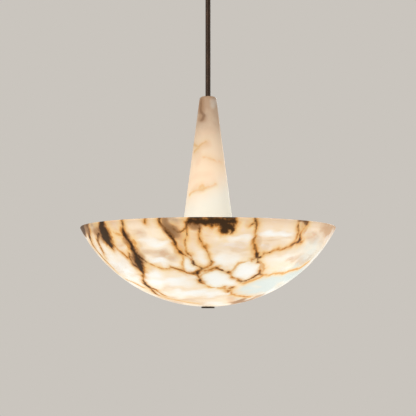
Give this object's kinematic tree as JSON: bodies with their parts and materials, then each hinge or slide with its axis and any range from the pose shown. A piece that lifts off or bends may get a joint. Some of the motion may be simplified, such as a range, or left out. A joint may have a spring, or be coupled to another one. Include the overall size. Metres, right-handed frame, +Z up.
{
  "type": "alabaster bowl pendant lamp",
  "caption": "Shallow veined stone bowl hung from a central rod through a slim stone cone, lit from inside, on a swivelling ceiling canopy.",
  "frame": {"origin": "on the ceiling plane, midway between the two screw slots of the ceiling bracket", "axes": "+Z up out of the ceiling bracket, against the rod; +X along the bracket, towards the terminal block"},
  "size_m": [0.4974, 0.4974, 0.7357],
  "materials": {
    "bowl_alabaster": "polished veined alabaster, cream with amber and dark brown veins, lit from inside",
    "cone_alabaster": "polished alabaster, lit at its wide end and unlit towards its top",
    "dark_bronze": "satin dark bronze lacquer",
    "zinc_steel": "zinc-plated steel",
    "brass": "plain brass",
    "white_enamel": "white baked enamel",
    "lampholder_porcelain": "glazed white porcelain",
    "bulb_cap_metal": "bright drawn cap",
    "opal_glass": "opal white glass, lit",
    "nylon": "natural nylon",
    "silicone": "translucent silicone",
    "terminal_plastic": "moulded thermoset",
    "cable_sheath": "white heat-resistant sheath",
    "core_insulation": "silicone-insulated cores"
  },
  "bodies": {
    "ceiling_mount": {"ceiling_bracket": "zinc_steel", "hanger_bolt": "zinc_steel", "bolt_lock_nuts": "zinc_steel", "terminal_block": "terminal_plastic", "terminal_screws": "brass", "earth_screw": "brass", "canopy": "dark_bronze", "canopy_ring_nut": "dark_bronze", "thrust_washers": "nylon", "supply_cable_upper": "cable_sheath", "mains_cores": "core_insulation"},
    "swivel": {"swivel_socket": "dark_bronze", "pivot_screws": "dark_bronze"},
    "pendant": {"swivel_tongue": "dark_bronze", "rod": "dark_bronze", "supply_cable_lower": "cable_sheath", "rod_lock_nuts": "zinc_steel", "cone": "cone_alabaster", "cone_bush": "nylon", "cone_pad": "silicone", "cone_spider": "zinc_steel", "rod_spacer": "zinc_steel", "lamp_hub": "white_enamel", "lamp_hub_cover": "white_enamel", "lampholder_1": "lampholder_porcelain", "bulb_base_1": "bulb_cap_metal", "bulb_globe_1": "opal_glass", "lampholder_2": "lampholder_porcelain", "bulb_base_2": "bulb_cap_metal", "bulb_globe_2": "opal_glass", "lampholder_3": "lampholder_porcelain", "bulb_base_3": "bulb_cap_metal", "bulb_globe_3": "opal_glass", "holder_lock_nuts": "zinc_steel", "hub_connector": "terminal_plastic", "hub_cores": "core_insulation", "lamp_leads": "core_insulation", "bowl": "bowl_alabaster", "bowl_sleeve": "nylon", "inner_gasket": "silicone", "outer_gasket": "silicone", "bowl_flange": "zinc_steel", "end_cap": "dark_bronze"}
  },
  "joints": [
    {"name": "swivel_turn", "type": "hinge", "parent": "ceiling_mount", "child": "swivel", "pos_m": [0, 0, -0.034], "axis": [0, 0, 1], "range_deg": [-170, 170]},
    {"name": "swivel_tilt", "type": "hinge", "parent": "swivel", "child": "pendant", "pos_m": [0, 0, -0.05062], "axis": [0, 1, 0], "range_deg": [-45, 45]}
  ]
}
